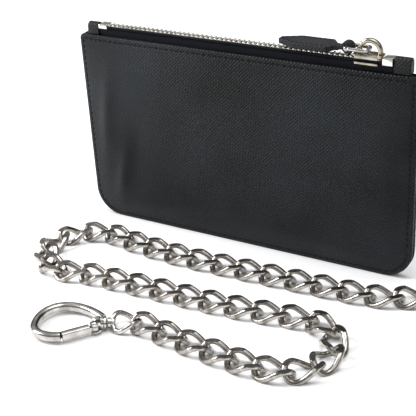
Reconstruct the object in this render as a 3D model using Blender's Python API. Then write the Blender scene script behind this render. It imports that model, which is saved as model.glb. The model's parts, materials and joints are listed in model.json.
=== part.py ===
"""Chain wallet: an upright zipped leather pouch, a zip pull with a leather strap, and a curb chain that drops from
a D-ring on the right seam, runs to and fro in front of the pouch and ends in a swivel snap hook."""

import math

import bmesh
import bpy
from mathutils import Matrix, Vector

MM = 0.001
GAP = 0.3 * MM  # clearance between pieces that touch

# Pouch: X is its width, -Y its front, Z up; the origin is the middle of the bottom edge.
WIDTH = 180 * MM
HEIGHT = 102 * MM
BOTTOM_RADIUS = 14.5 * MM
TOP_RADIUS = 3 * MM
LEATHER = 1.5 * MM
SEAM_HALF = 0.9 * MM  # from the middle plane to the inside of a leather panel at the seam
BULGE = 2.7 * MM
LINING_TOP = HEIGHT - 10 * MM
LINING_HEM = 2.5 * MM

# Zip
TAPE = 0.6 * MM
TAPE_HALF = 77.5 * MM
TAPE_DEPTH = 9 * MM
TAPE_RISE = 3.4 * MM
TAPE_TOP_Y = 1.9 * MM
TOOTH_PITCH = 2.54 * MM
TOOTH_WIDTH = 1.0 * MM
TOOTH_REACH = 1.3 * MM  # past the middle plane
BAR_IN, BAR_OUT = 1.6 * MM, 2.4 * MM
TEETH_LOW, TEETH_HIGH = HEIGHT + 3.7 * MM, HEIGHT + 5.9 * MM
TEETH_LEFT, TEETH_RIGHT = -72.2 * MM, 72.8 * MM
SLIDER_LEFT, SLIDER_RIGHT = 59.0 * MM, 72.7 * MM
SLIDER_TOP = HEIGHT + 7.4 * MM
BAIL_X, BAIL_Z = 66.4 * MM, HEIGHT + 8.4 * MM
BAIL_OUTER, BAIL_INNER = 5.9 * MM, 3.9 * MM

# Zip pull
PULL_BAR = 0.85 * MM  # radius of the link's wire
PULL_Z = HEIGHT + 9.2 * MM
PULL_LINK_X = (56.2 * MM, 66.0 * MM)  # its two cross bars
PULL_LINK_Y = 3.0 * MM
STRAP_TIP, STRAP_SHOULDER, STRAP_NECK = 22.5 * MM, 31.6 * MM, 50.5 * MM
STRAP_HALF, STRAP_NECK_HALF = 6.0 * MM, 1.85 * MM
STRAP_THICK = 2.6 * MM
STRAP_Z = HEIGHT + 8.6 * MM
EYE_OUTER, EYE_INNER = 3.0 * MM, 1.15 * MM

# Chain
PITCH = 13.17 * MM
WIRE = 2.8 * MM
LINK_WIDTH = 13.0 * MM
LINK_HEIGHT = 6.2 * MM
LINK_TWIST = -0.55  # how far the corners rise, as a share of the half width; below 0 the far left one is high
LINK_SLACK = 0.5 * MM  # between the wires of two links drawn tight
LINK_STEPS, LINK_SIDES = 16, 6
CHAIN_START = (103.2 * MM, -16.7 * MM)
CHAIN_HEADING = -150.0
# Runs of links that turn alike: how many joints, and degrees to the left at each.
CHAIN_TURNS = (
    (2, -13.3), (6, -0.2), (4, -3.0), (1, 25.7), (5, 36.0), (1, -12.2), (4, -0.5),
    (3, 2.3), (1, 1.7), (5, -36.0), (1, -14.0), (4, -1.4),
)
# The run from the D-ring to the floor, from the floor up: rise and compass direction of each link, in degrees.
DROP_RISES = (12, 45, 70, 76, 76, 76, 76)
DROP_BEARINGS = (35, 70, 180, 185, 188, 188, 188)
DROP_PITCH = 13.9 * MM

# D-ring and its tab on the right seam
RING_WIRE = 1.2 * MM
BAR_X = 93.0 * MM
RING_REACH, RING_HALF = 12.0 * MM, 6.5 * MM
BOW_POWER = 0.8  # below 1 the bow is fuller than an ellipse
TAB_OUTER, TAB_INNER = 2.6 * MM, 1.5 * MM
TAB_HALF = 4.2 * MM

# Swivel and hook
HOOK_HEADING = 210.0
HOOK_LENGTH = 33 * MM
HOOK_BACK, HOOK_FRONT = 18.5 * MM, 11.5 * MM  # how far its back and its gate side stand from the axis
HOOK_WIRE_Y, HOOK_WIRE_Z = 1.9 * MM, 2.1 * MM
GATE_HALF, GATE_THICK = 1.7 * MM, 2.0 * MM
HOOK_AXIS_Z = 3.2 * MM
EYE_LENGTH = 12.6 * MM
EYE_TWIST = -0.4
GATE_HINGE = (5.2 * MM, 3.4 * MM)


def clear_scene():
    """Removes whatever the new file holds."""
    for obj in list(bpy.data.objects):
        bpy.data.objects.remove(obj, do_unlink=True)


def material(name, colour, roughness, metallic):
    """A plain Principled material."""
    made = bpy.data.materials.new(name)
    made.use_nodes = True
    shader = made.node_tree.nodes["Principled BSDF"]
    shader.inputs["Base Color"].default_value = (*colour, 1)
    shader.inputs["Roughness"].default_value = roughness
    shader.inputs["Metallic"].default_value = metallic
    return made


def mesh_of(name, points, faces, smooth=False):
    """A mesh whose faces point outwards."""
    mesh = bpy.data.meshes.new(name)
    mesh.from_pydata([tuple(point) for point in points], [], faces)
    shape = bmesh.new()
    shape.from_mesh(mesh)
    bmesh.ops.recalc_face_normals(shape, faces=shape.faces)
    shape.to_mesh(mesh)
    shape.free()
    for face in mesh.polygons:
        face.use_smooth = smooth
    if smooth:
        mesh.set_sharp_from_angle(angle=math.radians(50))
    return mesh


def add(name, mesh, finish, place=None):
    """Links an object into the scene, at a place if one is given."""
    obj = bpy.data.objects.new(name, mesh)
    bpy.context.scene.collection.objects.link(obj)
    if not mesh.materials:
        mesh.materials.append(finish)
    if place is not None:
        obj.matrix_local = place
    return obj


def shifted(points, offset):
    """The points, moved so that the offset becomes the origin."""
    return [(x - offset[0], y - offset[1], z - offset[2]) for x, y, z in points]


def extrusion(outline, low, high, axes="xyz"):
    """A closed outline in the plane of the first two axes, extruded along the third."""
    order = ["xyz".index(axis) for axis in axes]
    count = len(outline)
    points = []
    for level in (low, high):
        for first, second in outline:
            point = [0, 0, 0]
            for where, value in zip(order, (first, second, level)):
                point[where] = value
            points.append(point)
    faces = [list(range(count)), list(range(2 * count - 1, count - 1, -1))]
    faces += [[i, i + count, (i + 1) % count + count, (i + 1) % count] for i in range(count)]
    return points, faces


def box(x, y, z):
    """A box between two values on each axis."""
    return extrusion([(x[0], y[0]), (x[1], y[0]), (x[1], y[1]), (x[0], y[1])], z[0], z[1])


def circle(centre, radius, steps=16, start=0.0, turn=360.0):
    """Points on a circle, or on an arc with both its ends."""
    ends = steps if turn == 360.0 else steps + 1
    angles = [math.radians(start + turn * i / steps) for i in range(ends)]
    return [(centre[0] + radius * math.cos(a), centre[1] + radius * math.sin(a)) for a in angles]


def sweep(path, half_side, half_up, sides, closed, up=Vector((0, 0, 1))):
    """An oval section carried along a path, its second half axis as near to up as it can be."""
    count = len(path)
    path = [Vector(point) for point in path]
    points, faces = [], []
    for i, point in enumerate(path):
        ahead = path[(i + 1) % count] if closed or i < count - 1 else point
        behind = path[i - 1] if closed or i else point
        along = (ahead - behind).normalized()
        side = along.cross(up).normalized()
        rise = side.cross(along)
        for k in range(sides):
            angle = 2 * math.pi * (k + 0.5) / sides
            points.append(point + side * half_side * math.cos(angle) + rise * half_up * math.sin(angle))
    for i in range(count if closed else count - 1):
        for k in range(sides):
            a, b = i * sides, (i + 1) % count * sides
            faces.append([a + k, a + (k + 1) % sides, b + (k + 1) % sides, b + k])
    if not closed:
        faces += [list(range(sides)), list(range((count - 1) * sides, count * sides))]
    return points, faces


def combined(name, finish, first, others):
    """The first shape joined with or cut by each (operation, shape) after it, as one object."""
    body = add(name, mesh_of(name, *first), finish)
    helpers = []
    for operation, shape in others:
        helper = add(name + "_tool", mesh_of(name + "_tool", *shape), finish)
        helper.hide_render = True
        helpers.append(helper)
        step = body.modifiers.new(operation, "BOOLEAN")
        step.operation, step.solver, step.object = operation, "EXACT", helper
    bpy.context.view_layer.update()
    result = bpy.data.meshes.new_from_object(body.evaluated_get(bpy.context.evaluated_depsgraph_get()))
    body.modifiers.clear()
    body.data = result
    for helper in helpers:
        bpy.data.objects.remove(helper, do_unlink=True)
    return body


def half_width(z, inset=0.0):
    """Half the pouch's width at a height, with the rounded corners."""
    half, radius = WIDTH / 2 - inset, BOTTOM_RADIUS - inset
    if z - inset < radius:
        return half - radius + math.sqrt(max(radius**2 - (radius - (z - inset)) ** 2, 0))
    top = HEIGHT - TOP_RADIUS
    if z > top and not inset:
        return half - TOP_RADIUS + math.sqrt(max(TOP_RADIUS**2 - (z - top) ** 2, 0))
    return half


def bulge(x, z, inset=0.0):
    """How far a side of the pouch stands out from the seam."""
    u = min(abs(x) / half_width(z, inset), 1)
    v = (z - inset) / (HEIGHT - inset)
    return BULGE * (1 - u**10) * (1 - (2 * v - 1) ** 4 + 0.36 * v * v)


PANEL_LEVELS = [0, 1.2, 4, 8.5, 14.5, 30, 52, 75, 91, 99, 100.9, 102]
PANEL_COLUMNS = [-1, -0.96, -0.87, -0.65, 0, 0.65, 0.87, 0.96, 1]


def panel_shape(side):
    """One leather panel: two bulging skins on the same outline, joined all round."""
    levels = [z * MM for z in PANEL_LEVELS]
    rows, columns = len(levels), len(PANEL_COLUMNS)
    points = []
    for skin in (0, LEATHER):
        for z in levels:
            for u in PANEL_COLUMNS:
                x = u * half_width(z)
                points.append((x, side * (SEAM_HALF + skin + bulge(x, z)), z))
    return points, skins(rows, columns, 0, rows * columns)


def skins(rows, columns, first, second):
    """Faces of two grids of points and the strip that joins their rims."""
    faces = []
    for start, turned in ((first, False), (second, True)):
        for r in range(rows - 1):
            for c in range(columns - 1):
                a = start + r * columns + c
                quad = [a, a + 1, a + columns + 1, a + columns]
                faces.append(quad[::-1] if turned else quad)
    rim = [c for c in range(columns)]
    rim += [r * columns + columns - 1 for r in range(1, rows)]
    rim += [(rows - 1) * columns + c for c in range(columns - 2, -1, -1)]
    rim += [r * columns for r in range(rows - 2, 0, -1)]
    for a, b in zip(rim, rim[1:] + rim[:1]):
        faces.append([first + b, first + a, second + a, second + b])
    return faces


def panels(finish):
    add("front_panel", mesh_of("front_panel", *panel_shape(-1), smooth=True), finish)
    add("back_panel", mesh_of("back_panel", *panel_shape(1), smooth=True), finish)


def lining(finish):
    """A pocket open at the top: two sheets that meet at the sides and the bottom."""
    levels = [z * MM for z in PANEL_LEVELS if z * MM < LINING_TOP] + [LINING_TOP]
    columns = len(PANEL_COLUMNS)
    points, faces = [], []

    def grid(side, hollow):
        start = len(points)
        for z in levels:
            for u in PANEL_COLUMNS:
                if hollow:
                    height = LINING_HEM + z * (LINING_TOP - LINING_HEM) / LINING_TOP
                    x = u * half_width(height, LINING_HEM)
                    points.append((x, side * bulge(x, height, LINING_HEM), height))
                else:
                    x = u * (half_width(z) - 0.001 * MM)
                    points.append((x, side * (SEAM_HALF - GAP + bulge(x, z)), z))
        return start

    rows = len(levels)
    front, back = grid(-1, False), grid(1, False)
    hollow_front, hollow_back = grid(-1, True), grid(1, True)
    for start in (front, back, hollow_front, hollow_back):
        for r in range(rows - 1):
            for c in range(columns - 1):
                a = start + r * columns + c
                faces.append([a, a + 1, a + columns + 1, a + columns])
    for r in range(rows - 1):
        for c in (0, columns - 1):
            a, b = r * columns + c, (r + 1) * columns + c
            faces.append([front + a, front + b, back + b, back + a])
    top = (rows - 1) * columns
    for c in range(columns - 1):
        faces.append([front + c, front + c + 1, back + c + 1, back + c])
        a = top + c
        faces.append([front + a, front + a + 1, hollow_front + a + 1, hollow_front + a])
        faces.append([back + a, back + a + 1, hollow_back + a + 1, hollow_back + a])
    for c in (0, columns - 1):
        faces.append([front + top + c, back + top + c, hollow_front + top + c])
    # The hollow's two sheets share their points along its sides and its bottom.
    shared = {hollow_back + c: hollow_front + c for c in range(columns)}
    for r in range(rows):
        for c in (0, columns - 1):
            shared[hollow_back + r * columns + c] = hollow_front + r * columns + c
    faces = [[shared.get(i, i) for i in face] for face in faces]
    used = sorted({i for face in faces for i in face})
    renumbered = {old: new for new, old in enumerate(used)}
    faces = [[renumbered[i] for i in face] for face in faces]
    add("lining", mesh_of("lining", [points[i] for i in used], faces, smooth=True), finish)


def zip_tapes(finish):
    levels = [HEIGHT - TAPE_DEPTH, HEIGHT - TAPE_DEPTH / 2, HEIGHT, HEIGHT + TAPE_RISE]
    columns = 13
    for name, side in (("zip_tape_front", -1), ("zip_tape_back", 1)):
        points = []
        for skin in (TAPE, 0):
            for z in levels:
                for c in range(columns):
                    x = TAPE_HALF * (2 * c / (columns - 1) - 1)
                    y = TAPE_TOP_Y if z > HEIGHT else SEAM_HALF - GAP + bulge(x, z)
                    points.append((x, side * (y - skin), z))
        faces = skins(len(levels), columns, 0, len(levels) * columns)
        add(name, mesh_of(name, points, faces, smooth=True), finish)


def zip_teeth(finish):
    """Two combs whose teeth stand in each other's gaps."""
    count = int((TEETH_RIGHT - TEETH_LEFT - TOOTH_WIDTH) / TOOTH_PITCH - 0.5) + 1
    for name, side, offset in (("zip_teeth_front", -1, 0.0), ("zip_teeth_back", 1, TOOTH_PITCH / 2)):
        outline = [(TEETH_LEFT, side * BAR_OUT), (TEETH_LEFT, side * BAR_IN)]
        for i in range(count):
            left = TEETH_LEFT + 0.2 * MM + offset + i * TOOTH_PITCH
            right = left + TOOTH_WIDTH
            tip = -side * TOOTH_REACH
            outline += [(left, side * BAR_IN), (left, tip), (right, tip), (right, side * BAR_IN)]
        outline += [(TEETH_RIGHT, side * BAR_IN), (TEETH_RIGHT, side * BAR_OUT)]
        add(name, mesh_of(name, *extrusion(outline, TEETH_LOW, TEETH_HIGH)), finish)


def zip_slider(finish):
    """A channel that runs along the teeth, with a round bail on top."""
    plate, wall, inner = HEIGHT + 6.2 * MM, 3.5 * MM, 2.7 * MM
    low, lip, lip_in = HEIGHT + 3.0 * MM, HEIGHT + 3.4 * MM, 2.2 * MM
    right = [(0, SLIDER_TOP), (wall, SLIDER_TOP), (wall, low), (lip_in, low), (lip_in, lip), (inner, lip)]
    right.append((inner, plate))
    outline = right + [(-y, z) for y, z in right[:0:-1]]
    channel = extrusion(outline, SLIDER_LEFT, SLIDER_RIGHT, axes="yzx")
    outer = circle((BAIL_X, BAIL_Z), BAIL_OUTER, 14, 0, 180)
    inner_arc = circle((BAIL_X, BAIL_Z), BAIL_INNER, 14, 180, -180)
    foot = SLIDER_TOP - 0.5 * MM
    arch = [(BAIL_X + BAIL_OUTER, foot)] + outer + [(BAIL_X - BAIL_OUTER, foot), (BAIL_X - BAIL_INNER, foot)]
    arch += inner_arc + [(BAIL_X + BAIL_INNER, foot)]
    bail = extrusion(arch, -1.4 * MM, 1.4 * MM, axes="xzy")
    combined("zip_slider", finish, channel, [("UNION", bail)])


def pull_link(finish):
    """A flat loop: one cross bar runs under the bail, the other carries the strap. Its origin is the bail's bar."""
    left, right = PULL_LINK_X
    corner = 1.6 * MM
    path = []
    for x, side, start in ((right, 1, 0), (left, 1, 90), (left, -1, 180), (right, -1, 270)):
        inward = -corner if x == right else corner
        centre = (x + inward, side * (PULL_LINK_Y - corner))
        path += [(px - right, py, 0) for px, py in circle(centre, corner, 3, start, 90)]
    shape = sweep(path, PULL_BAR, PULL_BAR, 8, True)
    place = Matrix.Translation((right, 0, PULL_Z))
    add("pull_link", mesh_of("pull_link", *shape, smooth=True), finish, place=place)


def leather_pull(finish):
    """A pointed strap whose narrow end loops round the link. Its origin is the middle of that loop."""
    hinge = Vector((PULL_LINK_X[0], 0, PULL_Z))
    low, high = STRAP_Z - STRAP_THICK / 2, STRAP_Z + STRAP_THICK / 2
    half = [(STRAP_TIP, 1.6 * MM), (STRAP_SHOULDER, STRAP_HALF), (STRAP_NECK - 3 * MM, STRAP_HALF)]
    half += [(STRAP_NECK, STRAP_NECK_HALF), (hinge.x - 2.2 * MM, STRAP_NECK_HALF)]
    outline = half + [(x, -y) for x, y in half[::-1]]
    blade = extrusion(outline, low, high)
    ring = circle((hinge.x, hinge.z), EYE_OUTER, 18)
    eye = extrusion(ring, -STRAP_NECK_HALF, STRAP_NECK_HALF, axes="xzy")
    hole = extrusion(circle((hinge.x, hinge.z), EYE_INNER, 14), -3 * MM, 3 * MM, axes="xzy")
    blade, eye, hole = ((shifted(points, hinge), faces) for points, faces in (blade, eye, hole))
    body = combined("leather_pull", finish, blade, [("UNION", eye), ("DIFFERENCE", hole)])
    body.matrix_local = Matrix.Translation(hinge)


def zip_stops(finish):
    """A clamped metal block at each end of the teeth: left, right, half width and height in millimetres."""
    for name, left, right, half, tall in (
        ("zip_top_stop", 73.1, 77.8, 3.0, 3.2),
        ("zip_bottom_stop", -77.5, -72.6, 2.6, 2.2),
    ):
        x, y = (left * MM, right * MM), (-half * MM, half * MM)
        shape = box(x, y, (TEETH_LOW, TEETH_LOW + tall * MM))
        add(name, mesh_of(name, *shape), finish)


def end_tabs(finish):
    """Folded leather at each end of the zip: a block on top and a tongue between the panels."""
    for name, left, right, top in (("end_tab_left", -84.5, -77.9, 108.2), ("end_tab_right", 78.1, 86.0, 109.8)):
        tongue, block, bottom, seat = 0.55 * MM, 2.6 * MM, HEIGHT - 9 * MM, HEIGHT + GAP
        crown = top * MM
        half = [(tongue, bottom), (tongue, seat), (block, seat), (block, crown - 0.9 * MM), (block - 0.9 * MM, crown)]
        outline = half + [(-y, z) for y, z in half[::-1]]
        shape = extrusion(outline, left * MM, right * MM, axes="yzx")
        add(name, mesh_of(name, *shape), finish)


def link_shape():
    """One twisted oval link that points along X, its middle at the origin."""
    long_half = (PITCH + WIRE + LINK_SLACK) / 2
    wide_half = (LINK_WIDTH - WIRE) / 2
    rise = LINK_TWIST * wide_half
    path = []
    for i in range(LINK_STEPS):
        t = 2 * math.pi * (i + 0.5) / LINK_STEPS
        path.append((long_half * math.cos(t), wide_half * math.sin(t), rise * math.sin(2 * t)))
    return sweep(path, WIRE / 2, WIRE / 2, LINK_SIDES, True)


def ground_flat(mesh, levels=((1, LINK_HEIGHT / 2), (-1, -LINK_HEIGHT / 2))):
    """Cuts a mesh off flat above and below; each level is the side that goes and its height."""
    shape = bmesh.new()
    shape.from_mesh(mesh)
    for side, height in levels:
        cut = bmesh.ops.bisect_plane(
            shape,
            geom=shape.verts[:] + shape.edges[:] + shape.faces[:],
            dist=1e-7,
            plane_co=(0, 0, height),
            plane_no=(0, 0, side),
            clear_outer=True,
        )
        rim = [item for item in cut["geom_cut"] if isinstance(item, bmesh.types.BMEdge)]
        bmesh.ops.holes_fill(shape, edges=rim, sides=0)
    bmesh.ops.recalc_face_normals(shape, faces=shape.faces)
    shape.to_mesh(mesh)
    shape.free()
    return mesh


def link_mesh():
    """A link, ground flat above and below."""
    return ground_flat(mesh_of("chain_link", *link_shape()))


def chain_places():
    """Each link's start pivot and heading, from the run of turns, and the pivot after the last link."""
    heading, x, y = CHAIN_HEADING, *CHAIN_START
    turns = [turn for count, turn in CHAIN_TURNS for _ in range(count)] + [0]
    places = []
    for turn in turns:
        places.append((x, y, heading))
        x += PITCH * math.cos(math.radians(heading))
        y += PITCH * math.sin(math.radians(heading))
        heading += turn
    return places, (x, y)


def chain(finish):
    """The links on the floor, each with its origin at the pivot it shares with the link before it."""
    mesh = link_mesh()
    mesh.transform(Matrix.Translation((PITCH / 2, 0, 0)))
    for number, (x, y, heading) in enumerate(chain_places()[0], 1):
        place = Matrix.Translation((x, y, LINK_HEIGHT / 2)) @ Matrix.Rotation(math.radians(heading), 4, "Z")
        add(f"chain_link_{number:02d}", mesh, finish, place=place)


def drop_frames():
    """The middle and axes of each link between the floor and the D-ring, and the last link's upward direction."""
    pivot = Vector((*CHAIN_START, LINK_HEIGHT / 2))
    frames = []
    for i, (rise, bearing) in enumerate(zip(DROP_RISES, DROP_BEARINGS)):
        rise, bearing = math.radians(rise), math.radians(bearing)
        upward = Vector((math.cos(rise) * math.cos(bearing), math.cos(rise) * math.sin(bearing), math.sin(rise)))
        turn = math.radians(DROP_BEARINGS[0] * (1 - i / (len(DROP_RISES) - 1)))
        wide = Vector((math.sin(turn), -math.cos(turn), 0))
        wide = (wide - upward * wide.dot(upward)).normalized()
        middle = pivot + upward * PITCH / 2
        along = -upward
        axes = Matrix((along, wide, along.cross(wide))).transposed().to_4x4()
        frames.append((Matrix.Translation(middle) @ axes, upward))
        pivot = pivot + upward * DROP_PITCH
    return frames


def ring_contact():
    """Where the drop's top link hangs on the D-ring's wire."""
    place, upward = drop_frames()[-1]
    return place.translation + upward * (PITCH / 2 + GAP / 2 - RING_WIRE - 2 * GAP)


def chain_drop(finish):
    """The hanging run as one body, its links sunk a little into each other."""
    bodies = []
    for place, _ in drop_frames():
        mesh = link_mesh()
        mesh.transform(place)
        bodies.append(add("drop_tool", mesh, finish))
    body = bodies[0]
    for helper in bodies[1:]:
        helper.hide_render = True
        step = body.modifiers.new("UNION", "BOOLEAN")
        step.operation, step.solver, step.object = "UNION", "EXACT", helper
    bpy.context.view_layer.update()
    mesh = bpy.data.meshes.new_from_object(body.evaluated_get(bpy.context.evaluated_depsgraph_get()))
    for helper in bodies:
        bpy.data.objects.remove(helper, do_unlink=True)
    ground_flat(mesh, ((-1, 0.02 * MM),))
    contact = ring_contact()
    mesh.transform(Matrix.Translation(-contact))
    mesh.name = "chain_drop"
    mesh.materials.clear()
    add("chain_drop", mesh, finish, place=Matrix.Translation(contact))


def d_ring(finish):
    """A D-shaped ring whose straight bar stands upright in the tab; its origin is on the bar's axis."""
    contact = ring_contact()
    reach = contact.x - BAR_X
    turn = math.atan2(contact.y, reach)
    angle = -math.acos(min(math.hypot(reach, contact.y) / RING_REACH, 1) ** (1 / BOW_POWER))
    centre_z = contact.z - RING_HALF * math.sin(angle)
    path = []
    for i in range(15):
        t = math.radians(-90 + 180 * i / 14)
        path.append((RING_REACH * max(math.cos(t), 0) ** BOW_POWER, 0, RING_HALF * math.sin(t)))
    place = Matrix.Translation((BAR_X, 0, centre_z)) @ Matrix.Rotation(turn, 4, "Z")
    shape = sweep(path, RING_WIRE, RING_WIRE, 8, True, up=Vector((0, 1, 0)))
    add("d_ring", mesh_of("d_ring", *shape, smooth=True), finish, place=place)
    return centre_z


def side_tab(finish, centre_z):
    """The leather loop on the seam that holds the D-ring's bar."""
    outer = extrusion(circle((BAR_X, 0), TAB_OUTER, 16), centre_z - TAB_HALF, centre_z + TAB_HALF)
    hole = extrusion(circle((BAR_X, 0), TAB_INNER, 12), centre_z - 3 * TAB_HALF, centre_z + 3 * TAB_HALF)
    combined("side_tab", finish, outer, [("DIFFERENCE", hole)])


def hook_place(reach):
    """The hook's frame: X along its axis from the collar to the nose; reach is its distance from the last pivot."""
    end = chain_places()[1]
    axis = math.radians(HOOK_HEADING)
    x, y = end[0] + reach * math.cos(axis), end[1] + reach * math.sin(axis)
    return Matrix.Translation((x, y, HOOK_AXIS_Z)) @ Matrix.Rotation(axis, 4, "Z")


def tube_x(start, end, radius, steps=14):
    """A cylinder along X."""
    return extrusion(circle((0, 0), radius, steps), start, end, axes="yzx")


def swivel_eye(finish):
    """The loop that the last link holds, with the barrel that the hook turns on. Its origin is the loop's pivot."""
    long_half = EYE_LENGTH / 2
    middle = long_half - (WIRE + LINK_SLACK) / 2
    wide_half = (LINK_WIDTH + 0.8 * MM - WIRE) / 2
    path = []
    for i in range(LINK_STEPS):
        t = 2 * math.pi * (i + 0.5) / LINK_STEPS
        rise = EYE_TWIST * wide_half * math.sin(2 * t)
        path.append((middle + long_half * math.cos(t), wide_half * math.sin(t), rise))
    loop = sweep(path, WIRE / 2, WIRE / 2, LINK_SIDES, True)
    end = middle + long_half
    barrel = tube_x(end - 0.9 * MM, end + 2.2 * MM, 2.4 * MM)
    body = combined("swivel_eye", finish, loop, [("UNION", barrel)])
    ground_flat(body.data)
    last = chain_places()[1]
    turn = Matrix.Rotation(math.radians(HOOK_HEADING), 4, "Z")
    body.matrix_local = Matrix.Translation((*last, HOOK_AXIS_Z)) @ turn
    return end + 2.2 * MM


def hook_path(first, last, steps):
    """Points of the hook's drop-shaped outline; t runs from the collar round the nose and back."""
    path = []
    for i in range(steps + 1):
        t = first + (last - first) * i / steps
        x = HOOK_LENGTH / 2 * (1 - math.cos(t))
        y = -(HOOK_BACK if math.sin(t) > 0 else HOOK_FRONT) * math.sin(t) * abs(math.sin(t / 2)) ** 0.7
        path.append((x, y, 0))
    return path


def hook_body(finish, start):
    """Collar, neck and bow of the hook, with a slot for the gate. Its origin is on the swivel's axis."""
    bow = sweep(hook_path(0.55, 4.5, 20), HOOK_WIRE_Y, HOOK_WIRE_Z, 8, False)
    collar = tube_x(0, 3.2 * MM, 3.1 * MM)
    neck = box((2.0 * MM, 5.0 * MM), (-4.2 * MM, 2.2 * MM), (-1.9 * MM, 1.9 * MM))
    hinge_x, hinge_y = GATE_HINGE
    cheek = extrusion(circle((hinge_x, hinge_y), 2.2 * MM, 14), -2.5 * MM, 2.5 * MM)
    cheek_root = box((2.4 * MM, hinge_x), (0, hinge_y + 1.6 * MM), (-2.5 * MM, 2.5 * MM))
    slot_x, slot_y = ((middle - 2.6 * MM, middle + 9 * MM) for middle in GATE_HINGE)
    slot = box(slot_x, slot_y, (-1.3 * MM, 1.3 * MM))
    hole = extrusion(circle((hinge_x, hinge_y), 1.0 * MM, 10), -4 * MM, 4 * MM)
    tools = [("UNION", shape) for shape in (collar, neck, cheek, cheek_root)]
    tools += [("DIFFERENCE", slot), ("DIFFERENCE", hole)]
    body = combined("hook_body", finish, bow, tools)
    body.matrix_local = start


def hook_gate(finish, start):
    """The flat bar that closes the hook, with an eye at its hinge. Its origin is the hinge."""
    end = Vector(hook_path(0.55, 4.5, 20)[-1])
    hinge = Vector((*GATE_HINGE, 0))
    along = (end - hinge).normalized()
    side = Vector((-along.y, along.x, 0))
    reach = (end - hinge).length - 1.0 * MM

    def strip(low, high, half, thick):
        """A straight bar along the gate, from one distance to another past the hinge."""
        places = ((low, -half), (high, -half), (high, half), (low, half))
        corners = [hinge + along * x + side * y for x, y in places]
        return extrusion([(c.x, c.y) for c in corners], -thick, thick)

    bar = strip(2.9 * MM, reach, GATE_HALF, GATE_THICK)
    tongue = strip(0, 3.9 * MM, 1.1 * MM, 1.0 * MM)
    eye = extrusion(circle(GATE_HINGE, 1.9 * MM, 14), -1.0 * MM, 1.0 * MM)
    hole = extrusion(circle(GATE_HINGE, 1.0 * MM, 10), -4 * MM, 4 * MM)
    parts = [(shifted(points, hinge), faces) for points, faces in (bar, tongue, eye, hole)]
    steps = [("UNION", parts[1]), ("UNION", parts[2]), ("DIFFERENCE", parts[3])]
    body = combined("hook_gate", finish, parts[0], steps)
    body.matrix_local = start @ Matrix.Translation(hinge)


def gate_pin(finish, start):
    """The rivet through the cheeks and the gate's eye."""
    shape = extrusion(circle((0, 0), 0.7 * MM, 10), -2.6 * MM, 2.6 * MM)
    place = start @ Matrix.Translation((*GATE_HINGE, 0))
    add("gate_pin", mesh_of("gate_pin", *shape, smooth=True), finish, place=place)


def main():
    clear_scene()
    leather = material("textured_leather", (0.028, 0.028, 0.031), 0.5, 0.0)
    cloth = material("lining_cloth", (0.02, 0.02, 0.022), 0.85, 0.0)
    tape = material("woven_zip_tape", (0.012, 0.013, 0.018), 0.8, 0.0)
    zip_metal = material("bright_zip_metal", (0.75, 0.74, 0.7), 0.25, 1.0)
    nickel = material("polished_nickel", (0.72, 0.7, 0.67), 0.15, 1.0)
    satin = material("satin_nickel", (0.7, 0.69, 0.67), 0.35, 1.0)
    panels(leather)
    lining(cloth)
    zip_tapes(tape)
    zip_teeth(zip_metal)
    zip_slider(nickel)
    pull_link(nickel)
    leather_pull(leather)
    zip_stops(zip_metal)
    end_tabs(leather)
    side_tab(leather, d_ring(nickel))
    chain_drop(nickel)
    chain(nickel)
    start = hook_place(swivel_eye(nickel) + GAP)
    hook_body(nickel, start)
    hook_gate(satin, start)
    gate_pin(nickel, start)


main()
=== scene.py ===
"""Looks of the chain wallet: grained leather pouch, metal zip with its pull, curb chain and snap hook."""

import json
import logging
import math
from collections.abc import Callable, Iterable, Sequence
from dataclasses import dataclass
from enum import Enum

import bmesh
import bpy
from mathutils import Matrix, Vector

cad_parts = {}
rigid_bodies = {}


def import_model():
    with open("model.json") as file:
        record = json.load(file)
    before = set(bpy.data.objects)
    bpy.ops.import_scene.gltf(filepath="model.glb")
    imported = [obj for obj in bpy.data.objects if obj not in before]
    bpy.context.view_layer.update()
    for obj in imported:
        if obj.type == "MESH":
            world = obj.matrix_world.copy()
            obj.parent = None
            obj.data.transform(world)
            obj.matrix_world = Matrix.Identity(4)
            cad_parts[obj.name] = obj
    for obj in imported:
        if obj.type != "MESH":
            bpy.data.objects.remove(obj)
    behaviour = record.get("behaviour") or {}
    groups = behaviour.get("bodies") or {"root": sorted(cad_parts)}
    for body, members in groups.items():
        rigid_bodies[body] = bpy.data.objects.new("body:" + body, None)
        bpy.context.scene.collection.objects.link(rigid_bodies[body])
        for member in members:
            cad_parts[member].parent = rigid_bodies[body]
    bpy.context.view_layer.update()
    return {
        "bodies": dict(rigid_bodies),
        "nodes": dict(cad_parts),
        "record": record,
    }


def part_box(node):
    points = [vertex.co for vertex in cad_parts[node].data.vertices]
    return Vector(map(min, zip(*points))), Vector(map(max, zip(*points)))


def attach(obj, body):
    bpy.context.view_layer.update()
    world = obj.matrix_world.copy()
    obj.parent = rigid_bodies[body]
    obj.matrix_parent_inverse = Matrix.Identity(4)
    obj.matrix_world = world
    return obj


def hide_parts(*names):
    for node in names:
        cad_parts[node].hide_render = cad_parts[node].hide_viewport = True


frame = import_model()
MM = 0.001
LOG = logging.getLogger("chain_wallet")

Point = tuple[float, float, float]
Shape = tuple[list[Point], list[list[int]]]


class Side(Enum):
    """Which side of the pouch's middle plane a piece is on."""

    FRONT = -1
    BACK = 1


class Cut(Enum):
    """Which way a flat cut takes material off."""

    ABOVE = 1
    BELOW = -1


def linear(code: str) -> tuple[float, float, float, float]:
    """Turns an sRGB hex colour into the linear colour that a shader takes.

    Args:
        code: six hex digits, with or without a leading #.

    Returns:
        Linear red, green, blue and alpha.
    """
    digits = code.lstrip("#")
    values = [int(digits[i : i + 2], 16) / 255 for i in (0, 2, 4)]
    flat = [v / 12.92 if v <= 0.04045 else ((v + 0.055) / 1.055) ** 2.4 for v in values]
    return flat[0], flat[1], flat[2], 1.0


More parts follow.
